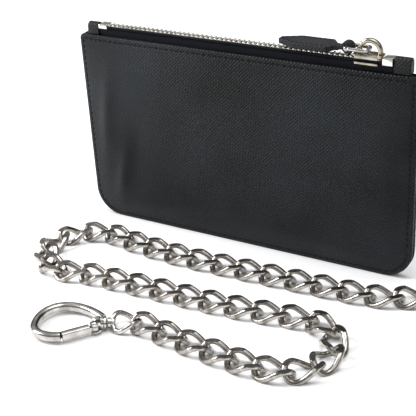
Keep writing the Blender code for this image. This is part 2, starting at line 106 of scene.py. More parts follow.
def add_node(
    tree: bpy.types.NodeTree,
    kind: str,
    links: dict[str | int, bpy.types.NodeSocket] | None = None,
    values: dict[str | int, object] | None = None,
    **settings: object,
) -> bpy.types.Node:
    """Adds one node to a tree.

    Args:
        tree: the node tree.
        kind: the node's type name.
        links: output sockets, by the input that each feeds.
        values: default values, by input.
        settings: the node's own properties.

    Returns:
        The new node.
    """
    node = tree.nodes.new(kind)
    for name, value in settings.items():
        setattr(node, name, value)
    for name, value in (values or {}).items():
        node.inputs[name].default_value = value
    for name, socket in (links or {}).items():
        tree.links.new(socket, node.inputs[name])
    return node


def ramp(
    tree: bpy.types.NodeTree, source: bpy.types.NodeSocket, stops: Sequence[tuple[float, object]]
) -> bpy.types.Node:
    """Adds a colour ramp.

    Args:
        tree: the node tree.
        source: what drives the ramp.
        stops: position and grey value or linear colour of each stop.

    Returns:
        The ramp node.
    """
    node = add_node(tree, "ShaderNodeValToRGB", {"Fac": source})
    while len(node.color_ramp.elements) < len(stops):
        node.color_ramp.elements.new(0.5)
    for element, (place, value) in zip(node.color_ramp.elements, stops):
        element.position = place
        element.color = value if isinstance(value, tuple) else (value, value, value, 1)
    return node


def band_scale(pitch: float) -> float:
    """Scale of a wave texture whose bands repeat at a pitch in metres."""
    return math.pi / (10 * pitch)


@dataclass(frozen=True)
class Finish:
    """A surface finish; each kind makes its own material.

    Attributes:
        name: the real material and how its surface was made.
        colour: sRGB hex of the body colour.
        roughness: the middle roughness.
    """

    name: str
    colour: str
    roughness: float

    def start(self) -> tuple[bpy.types.Material, bpy.types.NodeTree, bpy.types.Node, bpy.types.NodeSocket]:
        """Makes the material with its shader.

        Returns:
            The material, its tree, its shader and the object coordinates in metres.
        """
        made = bpy.data.materials.new(self.name)
        made.use_nodes = True
        tree = made.node_tree
        shader = tree.nodes["Principled BSDF"]
        shader.inputs["Base Color"].default_value = linear(self.colour)
        shader.inputs["Roughness"].default_value = self.roughness
        place = add_node(tree, "ShaderNodeTexCoord").outputs["Object"]
        return made, tree, shader, place


@dataclass(frozen=True)
class GrainedLeather(Finish):
    """Cowhide pressed with a crosshatch plate and lacquered: fine diagonal ribs that break up its sheen."""

    # lighter colour that slow noise blends in: partly random tone of the hide, partly painted sheen
    light: str = "#1e2328"
    rib_pitch: float = 1.25 * MM  # a real plate's ribs are 0.4 mm apart, drawn coarser so that they show
    pebble: float = 1.6 * MM

    def material(self) -> bpy.types.Material:
        """Leather with diagonal ribs both ways, pebbles between them, painted shade in the grooves and a slow
        change of tone that is partly painted sheen.
        """
        made, tree, shader, place = self.start()
        ribs = []
        for angle in (math.radians(45), math.radians(-45)):
            turned = add_node(tree, "ShaderNodeMapping", {"Vector": place}, {"Rotation": (0, angle, 0)})
            ribs.append(
                add_node(
                    tree,
                    "ShaderNodeTexWave",
                    {"Vector": turned.outputs["Vector"]},
                    {
                        "Scale": band_scale(self.rib_pitch),
                        "Distortion": 1.2,
                        "Detail": 1.5,
                        "Detail Scale": 2.0,
                    },
                ).outputs["Fac"]
            )
        hatch = add_node(tree, "ShaderNodeMath", {0: ribs[0], 1: ribs[1]}, operation="MAXIMUM")
        grain = {"Scale": 1 / self.pebble, "Detail": 4}
        pebbles = add_node(tree, "ShaderNodeTexNoise", {"Vector": place}, grain)
        height = add_node(
            tree, "ShaderNodeMath", {0: hatch.outputs[0], 1: pebbles.outputs["Fac"]}, operation="ADD"
        )
        # Slow noise blends the body colour towards the lighter one: partly random tone, partly painted sheen.
        slow = add_node(tree, "ShaderNodeTexNoise", {"Vector": place}, {"Scale": 16.0, "Detail": 3})
        tone = ramp(tree, slow.outputs["Fac"], ((0.36, linear(self.colour)), (0.66, linear(self.light))))
        # Painted shade in the crosshatch grooves and painted highlight on its ribs, multiplied into the
        # colour.
        grooves = ramp(tree, hatch.outputs[0], ((0.45, 0.35), (0.95, 1.25)))
        shaded = add_node(
            tree,
            "ShaderNodeMix",
            {6: tone.outputs["Color"], 7: grooves.outputs["Color"]},
            {0: 1.0},
            data_type="RGBA",
            blend_type="MULTIPLY",
        )
        tree.links.new(shaded.outputs[2], shader.inputs["Base Color"])
        wear = add_node(
            tree,
            "ShaderNodeMapRange",
            {"Value": pebbles.outputs["Fac"]},
            {"To Min": self.roughness - 0.08, "To Max": self.roughness + 0.1},
        )
        tree.links.new(wear.outputs["Result"], shader.inputs["Roughness"])
        bump = add_node(
            tree, "ShaderNodeBump", {"Height": height.outputs[0]}, {"Strength": 0.9, "Distance": 0.22 * MM}
        )
        tree.links.new(bump.outputs["Normal"], shader.inputs["Normal"])
        shader.inputs["Specular IOR Level"].default_value = 0.2
        return made


@dataclass(frozen=True)
class WovenCloth(Finish):
    """Polyester woven plain or in a herringbone: small over-and-under bumps that drink the light."""

    thread: float = 0.7 * MM  # real threads are 0.25 mm apart, drawn coarser so that they show

    def material(self) -> bpy.types.Material:
        """Cloth with a weave in its bump, and in its tone painted shade between the threads and painted
        highlight on their crowns.
        """
        made, tree, shader, place = self.start()
        threads = []
        for direction in ("X", "Z"):
            threads.append(
                add_node(
                    tree,
                    "ShaderNodeTexWave",
                    {"Vector": place},
                    {"Scale": band_scale(self.thread), "Distortion": 0.4},
                    bands_direction=direction,
                ).outputs["Fac"]
            )
        weave = add_node(tree, "ShaderNodeMath", {0: threads[0], 1: threads[1]}, operation="MULTIPLY")
        # Painted shade between the threads and painted highlight on their crowns, following the bump.
        dark = linear(self.colour)
        pale = (dark[0] * 2.2, dark[1] * 2.2, dark[2] * 2.2, 1.0)
        tone = ramp(tree, weave.outputs[0], ((0.0, dark), (1.0, pale)))
        tree.links.new(tone.outputs["Color"], shader.inputs["Base Color"])
        bump = add_node(
            tree, "ShaderNodeBump", {"Height": weave.outputs[0]}, {"Strength": 0.6, "Distance": 0.15 * MM}
        )
        tree.links.new(bump.outputs["Normal"], shader.inputs["Normal"])
        shader.inputs["Specular IOR Level"].default_value = 0.15
        return made


@dataclass(frozen=True)
class PlatedMetal(Finish):
    """Die-cast or drawn metal, nickel plated: a bright mirror that a polishing wheel left slightly uneven."""

    shade: str = "#b5b0a8"
    swirl: float = 5 * MM
    scratch: float = 0.5 * MM
    unevenness: float = 0.05

    def material(self) -> bpy.types.Material:
        """Metal with a slow change of tone, uneven polish and a faint dented bump."""
        made, tree, shader, place = self.start()
        shader.inputs["Metallic"].default_value = 1.0
        slow = add_node(tree, "ShaderNodeTexNoise", {"Vector": place}, {"Scale": 1 / self.swirl, "Detail": 2})
        tone = ramp(tree, slow.outputs["Fac"], ((0.35, linear(self.shade)), (0.65, linear(self.colour))))
        tree.links.new(tone.outputs["Color"], shader.inputs["Base Color"])
        fine = add_node(
            tree,
            "ShaderNodeTexNoise",
            {"Vector": place},
            {"Scale": 1 / self.scratch, "Detail": 3, "Roughness": 0.6},
        )
        polish = add_node(
            tree,
            "ShaderNodeMapRange",
            {"Value": fine.outputs["Fac"]},
            {"To Min": self.roughness - self.unevenness, "To Max": self.roughness + self.unevenness},
        )
        tree.links.new(polish.outputs["Result"], shader.inputs["Roughness"])
        bump = add_node(
            tree, "ShaderNodeBump", {"Height": slow.outputs["Fac"]}, {"Strength": 0.15, "Distance": 0.15 * MM}
        )
        tree.links.new(bump.outputs["Normal"], shader.inputs["Normal"])
        return made


@dataclass(frozen=True)
class PaleFloor(Finish):
    """Seamless paper: white, matt and without a mark."""

    def material(self) -> bpy.types.Material:
        """Paper with a barely visible fibre in its tone."""
        made, tree, shader, place = self.start()
        fibre = add_node(tree, "ShaderNodeTexNoise", {"Vector": place}, {"Scale": 400.0, "Detail": 2})
        white = linear(self.colour)
        fleck = (white[0] * 0.985, white[1] * 0.985, white[2] * 0.985, 1.0)
        tone = ramp(tree, fibre.outputs["Fac"], ((0.4, fleck), (0.6, white)))
        tree.links.new(tone.outputs["Color"], shader.inputs["Base Color"])
        shader.inputs["Specular IOR Level"].default_value = 0.1
        return made


class Palette:
    """Every material of the object, each made once."""

    def __init__(self) -> None:
        """Makes the materials."""
        # Each leather's lighter colour is partly random tone, partly painted sheen.
        self.leather = GrainedLeather("Cowhide_crosshatch_pressed", "#050709", 0.44).material()
        self.edge_leather = GrainedLeather(
            "Cowhide_folded_and_burnished", "#151618", 0.45, light="#27282b"
        ).material()
        self.thread = WovenCloth("Polyester_thread_twisted", "#0c0c0e", 0.7).material()
        self.tape = WovenCloth("Polyester_tape_woven", "#0d0e13", 0.85).material()
        self.cloth = WovenCloth("Polyester_lining_woven", "#151517", 0.85).material()
        self.teeth = PlatedMetal(
            "Brass_teeth_stamped_nickel_plated", "#f0ede6", 0.24, shade="#cbc6bc"
        ).material()
        self.nickel = PlatedMetal(
            "Steel_drawn_nickel_plated_polished", "#cfccc8", 0.18, shade="#a39f9a"
        ).material()
        self.chain = PlatedMetal(
            "Steel_links_tumbled_nickel_plated", "#bcb7b1", 0.25, shade="#7d7872", unevenness=0.08
        ).material()
        self.bronze = PlatedMetal("Zinc_cast_nickel_plated_aged", "#bdb7a8", 0.2, shade="#8b8578").material()
        self.satin = PlatedMetal("Zinc_cast_satin_nickel_plated", "#cdcac6", 0.3, shade="#b3afaa").material()


def mesh_from(name: str, shape: Shape, sharp: float = 40.0) -> bpy.types.Mesh:
    """Makes a smooth-shaded mesh that keeps its sharp edges.

    Args:
        name: the mesh's name.
        shape: points and faces.
        sharp: edges that turn more than this many degrees stay sharp.

    Returns:
        The mesh, its faces pointing out.
    """
    mesh = bpy.data.meshes.new(name)
    mesh.from_pydata([tuple(point) for point in shape[0]], [], shape[1])
    body = bmesh.new()
    body.from_mesh(mesh)
    bmesh.ops.recalc_face_normals(body, faces=body.faces)
    body.to_mesh(mesh)
    body.free()
    smooth(mesh, sharp)
    return mesh


def smooth(mesh: bpy.types.Mesh, sharp: float = 40.0) -> None:
    """Shades a mesh smooth and marks its sharp edges."""
    mesh.polygons.foreach_set("use_smooth", [True] * len(mesh.polygons))
    mesh.set_sharp_from_angle(angle=math.radians(sharp))


def joined(shapes: Iterable[Shape]) -> Shape:
    """Puts several shapes into one list of points and faces."""
    points: list[Point] = []
    faces: list[list[int]] = []
    for more_points, more_faces in shapes:
        start = len(points)
        points += list(more_points)
        faces += [[start + i for i in face] for face in more_faces]
    return points, faces


def placed(shape: Shape, matrix: Matrix) -> Shape:
    """Moves a shape's points by a matrix."""
    return [tuple(matrix @ Vector(point)) for point in shape[0]], shape[1]


def round_edges(body: bmesh.types.BMesh, edges: list[bmesh.types.BMEdge], width: float, steps: int) -> None:
    """Bevels some edges of a body with a round profile."""
    bmesh.ops.bevel(
        body, geom=edges, offset=width, segments=steps, profile=0.5, affect="EDGES", clamp_overlap=True
    )


def bevelled(shape: Shape, width: float, segments: int = 3) -> Shape:
    """Rounds every hard edge of a shape.

    Args:
        shape: points and faces of a closed body.
        width: the bevel's width.
        segments: steps across the bevel.

    Returns:
        The rounded shape.
    """
    body = bmesh.new()
    points = [body.verts.new(point) for point in shape[0]]
    for face in shape[1]:
        body.faces.new([points[i] for i in face])
    bmesh.ops.recalc_face_normals(body, faces=body.faces)
    hard = [edge for edge in body.edges if edge.calc_face_angle(0) > math.radians(25)]
    round_edges(body, hard, width, segments)
    body.verts.index_update()
    result = [tuple(v.co) for v in body.verts], [[v.index for v in f.verts] for f in body.faces]
    body.free()
    return result


def extruded(outline: Sequence[tuple[float, float]], low: float, high: float, axes: str = "xyz") -> Shape:
    """Extrudes a closed outline.

    Args:
        outline: its corners, in the plane of the first two axes.
        low: one end along the third axis.
        high: the other end.
        axes: the three axes in order.

    Returns:
        The closed shape.
    """
    order = ["xyz".index(axis) for axis in axes]
    count = len(outline)
    points: list[Point] = []
    for level in (low, high):
        for first, second in outline:
            point = [0.0, 0.0, 0.0]
            for where, value in zip(order, (first, second, level)):
                point[where] = value
            points.append((point[0], point[1], point[2]))
    faces = [list(range(count)), list(range(2 * count - 1, count - 1, -1))]
    faces += [[i, i + count, (i + 1) % count + count, (i + 1) % count] for i in range(count)]
    return points, faces


def sheet_faces(rows: int, columns: int) -> list[list[int]]:
    """Faces of a thick sheet: two grids of points, one after the other, joined round their rims."""
    faces = []
    size = rows * columns
    for start in (0, size):
        for r in range(rows - 1):
            for c in range(columns - 1):
                a = start + r * columns + c
                faces.append([a, a + 1, a + columns + 1, a + columns])
    rim = list(range(columns)) + [r * columns + columns - 1 for r in range(1, rows)]
    rim += [(rows - 1) * columns + c for c in range(columns - 2, -1, -1)]
    rim += [r * columns for r in range(rows - 2, 0, -1)]
    for a, b in zip(rim, rim[1:] + rim[:1]):
        faces.append([a, b, size + b, size + a])
    return faces


def arc(
    centre: tuple[float, float], radius: float, steps: int, start: float = 0.0, turn: float = 360.0
) -> list[tuple[float, float]]:
    """Points on a circle, or on an arc with both its ends.

    Args:
        centre: its middle.
        radius: its radius.
        steps: chords round it.
        start: the first point's angle in degrees.
        turn: degrees that it spans.

    Returns:
        The points.
    """
    ends = steps if turn == 360.0 else steps + 1
    angles = [math.radians(start + turn * i / steps) for i in range(ends)]
    return [(centre[0] + radius * math.cos(a), centre[1] + radius * math.sin(a)) for a in angles]


def swept(
    path: Sequence[Point],
    section: Callable[[int, float], tuple[float, float]],
    sides: int,
    closed: bool,
    up: Vector = Vector((0, 0, 1)),
) -> Shape:
    """Carries a section along a path.

    Args:
        path: the middle line.
        section: gives the half sizes, across and up, at a path point and an angle round the section.
        sides: points round the section.
        closed: whether the path comes back to its start.
        up: what the section's second axis stays near.

    Returns:
        The tube, with caps if it is open.
    """
    line = [Vector(point) for point in path]
    count = len(line)
    points: list[Point] = []
    faces: list[list[int]] = []
    for i, point in enumerate(line):
        ahead = line[(i + 1) % count] if closed or i < count - 1 else point
        behind = line[i - 1] if closed or i else point
        along = (ahead - behind).normalized()
        side = along.cross(up).normalized()
        rise = side.cross(along)
        for k in range(sides):
            angle = 2 * math.pi * (k + 0.5) / sides
            wide, tall = section(i, angle)
            points.append(tuple(point + side * wide + rise * tall))
    for i in range(count if closed else count - 1):
        for k in range(sides):
            a, b = i * sides, (i + 1) % count * sides
            faces.append([a + k, a + (k + 1) % sides, b + (k + 1) % sides, b + k])
    if not closed:
        faces += [list(range(sides)), list(range((count - 1) * sides, count * sides))]
    return points, faces


def round_section(radius: float) -> Callable[[int, float], tuple[float, float]]:
    """A circular section."""
    return lambda _i, angle: (radius * math.cos(angle), radius * math.sin(angle))


def flat_section(wide: float, tall: float, power: float = 0.6) -> Callable[[int, float], tuple[float, float]]:
    """A section between an oval and a rounded rectangle; a lower power is squarer."""

    def at(_i: int, angle: float) -> tuple[float, float]:
        """The section's point at an angle."""
        c, s = math.cos(angle), math.sin(angle)
        return wide * math.copysign(abs(c) ** power, c), tall * math.copysign(abs(s) ** power, s)

    return at


def turned(profile: Sequence[tuple[float, float]], steps: int = 28) -> Shape:
    """Spins a profile round the X axis.

    Args:
        profile: place along the axis and radius, from one end to the other.
        steps: faces round the axis.

    Returns:
        The closed shape.
    """
    points: list[Point] = []
    for x, radius in profile:
        points += [(x, y, z) for y, z in arc((0, 0), radius, steps)]
    faces = []
    for i in range(len(profile) - 1):
        for k in range(steps):
            a, b = i * steps, (i + 1) * steps
            faces.append([a + k, a + (k + 1) % steps, b + (k + 1) % steps, b + k])
    last = (len(profile) - 1) * steps
    faces += [list(range(steps)), list(range(last, last + steps))]
    return points, faces


def cut_flat(mesh: bpy.types.Mesh, cuts: Sequence[tuple[Cut, float]], edge: float = 0.0) -> None:
    """Grinds a mesh flat at some heights.

    Args:
        mesh: the mesh to change.
        cuts: which side goes, and at what height.
        edge: width of the small bevel round each flat, or 0 for none.
    """
    body = bmesh.new()
    body.from_mesh(mesh)
    for cut, height in cuts:
        made = bmesh.ops.bisect_plane(
            body,
            geom=body.verts[:] + body.edges[:] + body.faces[:],
            dist=1e-7,
            plane_co=(0, 0, height),
            plane_no=(0, 0, cut.value),
            clear_outer=True,
        )
        rim = [item for item in made["geom_cut"] if isinstance(item, bmesh.types.BMEdge)]
        flats = bmesh.ops.holes_fill(body, edges=rim, sides=0)["faces"]
        if edge:
            round_it = [e for f in flats for e in f.edges]
            round_edges(body, round_it, edge, 2)
    bmesh.ops.recalc_face_normals(body, faces=body.faces)
    body.to_mesh(mesh)
    body.free()
    smooth(mesh, 30)


def add_piece(
    name: str,
    mesh: bpy.types.Mesh,
    finish: bpy.types.Material,
    body: str,
    nodes: Sequence[str] = (),
    place: Matrix | None = None,
) -> bpy.types.Object:
    """Puts a piece into the scene and ties it to its CAD body.

    Args:
        name: the piece's name.
        mesh: its mesh.
        finish: its material.
        body: the body that it rides on.
        nodes: the CAD nodes that it stands for.
        place: where the mesh goes.

    Returns:
        The object.
    """
    obj = bpy.data.objects.new(name, mesh)
    bpy.context.scene.collection.objects.link(obj)
    if place is not None:
        obj.matrix_world = place
    if not mesh.materials:
        mesh.materials.append(finish)
    bpy.context.view_layer.update()
    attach(obj, body)
    if nodes:
        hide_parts(*nodes)
    LOG.info("%s rides on %s", name, body)
    return obj


def joint_places() -> dict[str, dict]:
    """The record's joints by name."""
    return {joint["name"]: joint for joint in frame["record"]["behaviour"]["joints"]}


@dataclass(frozen=True)
class Fold:
    """A soft crease in the leather: its middle, direction in degrees, length, width and height."""

    x: float
    z: float
    angle: float
    length: float
    width: float
    height: float

    def rise(self, x: float, z: float) -> float:
        """How far the crease lifts the surface at a point."""
        a = math.radians(self.angle)
        along = (x - self.x) * math.cos(a) + (z - self.z) * math.sin(a)
        across = -(x - self.x) * math.sin(a) + (z - self.z) * math.cos(a)
        return self.height * math.exp(-((along / self.length) ** 2) - (across / self.width) ** 2)


@dataclass
class Pouch:
    """Two bulging leather panels, their stitching and the lining."""

    palette: Palette
    width: float = 180 * MM
    height: float = 102 * MM
    corner: float = 14.5 * MM
    top_corner: float = 3 * MM
    leather: float = 1.5 * MM
    seam: float = 0.9 * MM
    bulge: float = 2.7 * MM
    edge_round: float = 0.55 * MM
    stitch_inset: float = 2.4 * MM
    stitch_pitch: float = 3.0 * MM
    stitch_length: float = 2.2 * MM
    stitch_radius: float = 0.26 * MM
    folds: tuple[Fold, ...] = (
        Fold(-76 * MM, 62 * MM, 82, 22 * MM, 4.2 * MM, 1.5 * MM),
        Fold(-69 * MM, 28 * MM, 76, 15 * MM, 3.8 * MM, 1.5 * MM),
        Fold(-60 * MM, 46 * MM, 80, 20 * MM, 7.0 * MM, -1.0 * MM),
        Fold(-40 * MM, 14 * MM, 12, 26 * MM, 5.0 * MM, 0.7 * MM),
        Fold(35 * MM, 12 * MM, -4, 36 * MM, 4.5 * MM, 0.35 * MM),
        Fold(10 * MM, 94 * MM, 2, 50 * MM, 3.5 * MM, -0.25 * MM),
        Fold(78 * MM, 40 * MM, 95, 24 * MM, 4.0 * MM, 0.35 * MM),
    )

    def half_width(self, z: float) -> float:
        """Half the pouch's width at a height, with its rounded corners."""
        half, top = self.width / 2, self.height - self.top_corner
        if z < self.corner:
            return half - self.corner + math.sqrt(max(self.corner**2 - (self.corner - z) ** 2, 0))
        if z > top:
            return half - self.top_corner + math.sqrt(max(self.top_corner**2 - (z - top) ** 2, 0))
        return half

    def stand_out(self, x: float, z: float) -> float:
        """How far a side of the pouch stands out from its seam."""
        u = min(abs(x) / self.half_width(z), 1)
        v = z / self.height
        return self.bulge * (1 - u**10) * (1 - (2 * v - 1) ** 4 + 0.36 * v * v)

    def inside(self, x: float, z: float) -> float:
        """Distance from a point on a panel to the panel's nearest edge."""
        near = min(self.width / 2 - abs(x), z, self.height - z)
        radius = self.corner if z < self.height / 2 else self.top_corner
        cx = self.width / 2 - radius
        cz = radius if z < self.height / 2 else self.height - radius
        beyond = z < cz if z < self.height / 2 else z > cz
        if abs(x) > cx and beyond:
            near = radius - math.hypot(abs(x) - cx, z - cz)
        return max(near, 0.0)

    def skin(self, x: float, z: float, side: Side) -> float:
        """How far out the grained skin lies: bulge, rolled edge, stitch groove and folds."""
        near = self.inside(x, z)
        out = self.seam + self.leather + self.stand_out(x, z)
        if near < self.edge_round:
            out -= self.edge_round - math.sqrt(self.edge_round**2 - (self.edge_round - near) ** 2)
        out -= 0.22 * MM * math.exp(-(((near - self.stitch_inset) / (0.5 * MM)) ** 2))
        fade = min(near / (8 * MM), 1)
        mirror = -1 if side is Side.BACK else 1
        out += fade * sum(fold.rise(mirror * x, z) for fold in self.folds)
        return out

    def panel(self, name: str, side: Side) -> bpy.types.Mesh:
        """One leather panel, finely divided and finest near its edges.

        Args:
            name: the mesh's name.
            side: front or back.

        Returns:
            The closed panel.
        """
        columns, rows = 161, 101
        points: list[Point] = []
        for layer in (0, 1):
            for r in range(rows):
                v = 0.5 + 0.5 * math.sin(math.pi * (r / (rows - 1) - 0.5))
                z = self.height * v
                for c in range(columns):
                    x = self.half_width(z) * math.sin(math.pi * (c / (columns - 1) - 0.5))
                    y = self.skin(x, z, side) if layer else self.seam + self.stand_out(x, z)
                    points.append((x, side.value * y, z))
        return mesh_from(name, (points, sheet_faces(rows, columns)), 60)

    def stitch_line(self) -> list[tuple[float, float, float]]:
        """Middles of the stitches round the panel, and each one's direction."""
        half, low = self.width / 2 - self.stitch_inset, self.stitch_inset
        high = self.height - self.stitch_inset
        radius = self.corner - self.stitch_inset
        outline = [(-half, high), *arc((-half + radius, low + radius), radius, 14, 180, 90)]
        outline += [*arc((half - radius, low + radius), radius, 14, 270, 90), (half, high), (-half, high)]
        stitches = []
        for (x0, z0), (x1, z1) in zip(outline, outline[1:]):
            length = math.hypot(x1 - x0, z1 - z0)
            count = max(round(length / self.stitch_pitch), 1) if length > self.stitch_pitch else 1
            for i in range(count):
                t = (i + 0.5) / count
                stitches.append((x0 + t * (x1 - x0), z0 + t * (z1 - z0), math.atan2(z1 - z0, x1 - x0)))
        kept = [stitches[0]]
        for stitch in stitches[1:]:
            if math.hypot(stitch[0] - kept[-1][0], stitch[1] - kept[-1][1]) > 0.85 * self.stitch_pitch:
                kept.append(stitch)
        return kept

    def stitching(self, name: str, side: Side) -> bpy.types.Mesh:
        """All the stitches of one panel: short threads that dip in at both ends."""
        shapes = []
        for x, z, direction in self.stitch_line():
            path = []
            for i in range(5):
                t = i / 4 - 0.5
                px = x + math.cos(direction) * t * self.stitch_length
                pz = z + math.sin(direction) * t * self.stitch_length
                lift = self.stitch_radius * (0.55 - 2.6 * (2 * t) ** 4 * 0.5)
                path.append((px, side.value * (self.skin(px, pz, side) + lift), pz))
            shapes.append(swept(path, round_section(self.stitch_radius), 6, False, Vector((0, 1, 0))))
        return mesh_from(name, joined(shapes), 80)

    def build(self) -> None:
        """Panels, stitching and lining."""
        for side, word in ((Side.FRONT, "front"), (Side.BACK, "back")):
            node = f"{word}_panel"
            add_piece(f"{word}_leather_panel", self.panel(node, side), self.palette.leather, "pouch", [node])
            stitches = self.stitching(f"{word}_stitches", side)
            add_piece(f"{word}_stitching", stitches, self.palette.thread, "pouch")
        lining = frame["nodes"]["lining"]
        lining.data.materials.clear()
        lining.data.materials.append(self.palette.cloth)


@dataclass
class Zip:
    """Tapes, teeth, end stops and leather end tabs."""

    palette: Palette
    pouch: Pouch
    tape_half: float = 77.5 * MM
    tape_depth: float = 9 * MM
    tape_rise: float = 3.4 * MM
    tape_thick: float = 0.6 * MM
    tape_top: float = 1.9 * MM
    pitch: float = 2.54 * MM
    clamp_half: float = 0.45 * MM
    head_half: float = 0.28 * MM
    head_drop: float = 0.6 * MM
    tooth_reach: float = 1.3 * MM
    tooth_low: float = 0.5 * MM
    tooth_high: float = 1.1 * MM
    clamp_reach: float = 1.9 * MM
    cord_reach: float = 2.0 * MM
    cord_radius: float = 0.65 * MM

    def tape(self, name: str, side: Side) -> bpy.types.Mesh:
        """One woven tape: it follows the leather inside and flares out above it."""
        columns, rows = 120, 14
        low, high = self.pouch.height - self.tape_depth, self.pouch.height + self.tape_rise
        points: list[Point] = []
        for thick in (self.tape_thick, 0.0):
            for r in range(rows):
                z = low + (high - low) * r / (rows - 1)
                for c in range(columns):
                    x = self.tape_half * (2 * c / (columns - 1) - 1)
                    inner = self.pouch.seam - 0.3 * MM + self.pouch.stand_out(x, min(z, self.pouch.height))
                    t = max((z - self.pouch.height) / self.tape_rise, 0)
                    ripple = 0.07 * MM * math.sin(2 * math.pi * x / self.pitch) * t
                    y = inner + (self.tape_top - inner) * t**0.8 + ripple
                    points.append((x, side.value * (y - thick), z))
        faces = sheet_faces(rows, columns)
        low_corner, high_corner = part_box(f"zip_teeth_{side.name.lower()}")
        bead_y, bead_z = side.value * self.cord_reach, (low_corner[2] + high_corner[2]) / 2 - 0.25 * MM
        span = high_corner[0] - low_corner[0]
        bead = [(low_corner[0] + span * i / 60, bead_y, bead_z) for i in range(61)]
        cord = swept(bead, round_section(self.cord_radius), 10, False)
        return mesh_from(name, joined([(points, faces), cord]), 60)

    def tooth_shape(self, side: Side) -> Shape:
        """One tooth: a clamp on the tape's bead and a lower, narrower head, its middle at the origin."""
        clamp, head = self.clamp_half, self.head_half
        outline = [(-clamp, self.clamp_reach), (-clamp, 0.8 * MM)]
        outline += [(-head, 0.4 * MM), (-head, -self.tooth_reach)]
        outline += [(-x, y) for x, y in outline[::-1]]
        points, faces = extruded([(x, side.value * y) for x, y in outline], -self.tooth_low, self.tooth_high)
        rounded = bevelled((points, faces), 0.15 * MM, 2)
        lowered = []
        for x, y, z in rounded[0]:
            past = (0.6 * MM - side.value * y) / self.clamp_reach
            drop = self.head_drop * min(max(past, 0), 1)
            lowered.append((x, y, z - drop if z > 0 else z))
        return lowered, rounded[1]

    def teeth(self, name: str, node: str, side: Side) -> bpy.types.Mesh:
        """A whole row of teeth between the CAD comb's ends."""
        low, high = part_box(node)
        offset = 0.0 if side is Side.FRONT else self.pitch / 2
        first = low[0] + 0.2 * MM + 0.5 * MM + offset
        count = int((high[0] - first) / self.pitch) + 1
        middle = (low[2] + high[2]) / 2
        tooth = self.tooth_shape(side)
        row = [placed(tooth, Matrix.Translation((first + i * self.pitch, 0, middle))) for i in range(count)]
        return mesh_from(name, joined(row), 35)

    def stop(self, name: str, node: str, ribs: int) -> bpy.types.Mesh:
        """A clamped metal block with shallow grooves across it."""
        low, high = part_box(node)
        size = [high[i] - low[i] for i in range(3)]
        outline = [(low[0], low[2]), (high[0], low[2])]
        for i in range(ribs):
            right = high[0] - size[0] * i / ribs
            left = high[0] - size[0] * (i + 1) / ribs
            outline += [(right, high[2] - 0.25 * MM), (right - 0.3 * MM, high[2])]
            outline += [(left + 0.3 * MM, high[2]), (left, high[2] - 0.25 * MM)]
        trimmed = [outline[0], outline[1]] + [p for i, p in enumerate(outline[2:]) if i % 4 != 0 or i == 0]
        return mesh_from(name, bevelled(extruded(trimmed, low[1], high[1], "xzy"), 0.3 * MM, 2), 35)

    def end_tab(self, name: str, node: str) -> bpy.types.Mesh:
        """Folded leather over the tape's end: a soft block with a tongue down between the panels."""
        low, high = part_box(node)
        seat = self.pouch.height + 0.3 * MM
        middle = (low[1] + high[1]) / 2
        half = high[1] - middle
        crown = high[2] - seat
        outline = [(middle - half, seat)]
        for i in range(9):
            a = math.pi * (1 - i / 8)
            across = middle + half * math.cos(a) * 0.96
            outline.append((across, seat + crown * (0.35 + 0.65 * math.sin(a) ** 0.6)))
        outline.append((middle + half, seat))
        block = bevelled(extruded(outline, low[0], high[0], "yzx"), 0.5 * MM, 3)
        left, right = middle - 0.5 * MM, middle + 0.5 * MM
        flat = [(left, low[2]), (right, low[2]), (right, seat + MM), (left, seat + MM)]
        tongue = extruded(flat, low[0] + 0.4 * MM, high[0] - 0.4 * MM, "yzx")
        return mesh_from(name, joined([block, tongue]), 45)

    def build(self) -> None:
        """Both halves of the zip and its ends."""
        for side, word in ((Side.FRONT, "front"), (Side.BACK, "back")):
            tape, teeth = f"zip_tape_{word}", f"zip_teeth_{word}"
            add_piece(f"{word}_tape", self.tape(tape, side), self.palette.tape, "pouch", [tape])
            add_piece(f"{word}_teeth", self.teeth(teeth, teeth, side), self.palette.teeth, "pouch", [teeth])
        for name, node, ribs in (("top_stop", "zip_top_stop", 1), ("bottom_stop", "zip_bottom_stop", 2)):
            add_piece(name, self.stop(name, node, ribs), self.palette.teeth, "pouch", [node])
        for end in ("left", "right"):
            node = f"end_tab_{end}"
            add_piece(f"{end}_end_tab", self.end_tab(node, node), self.palette.edge_leather, "pouch", [node])


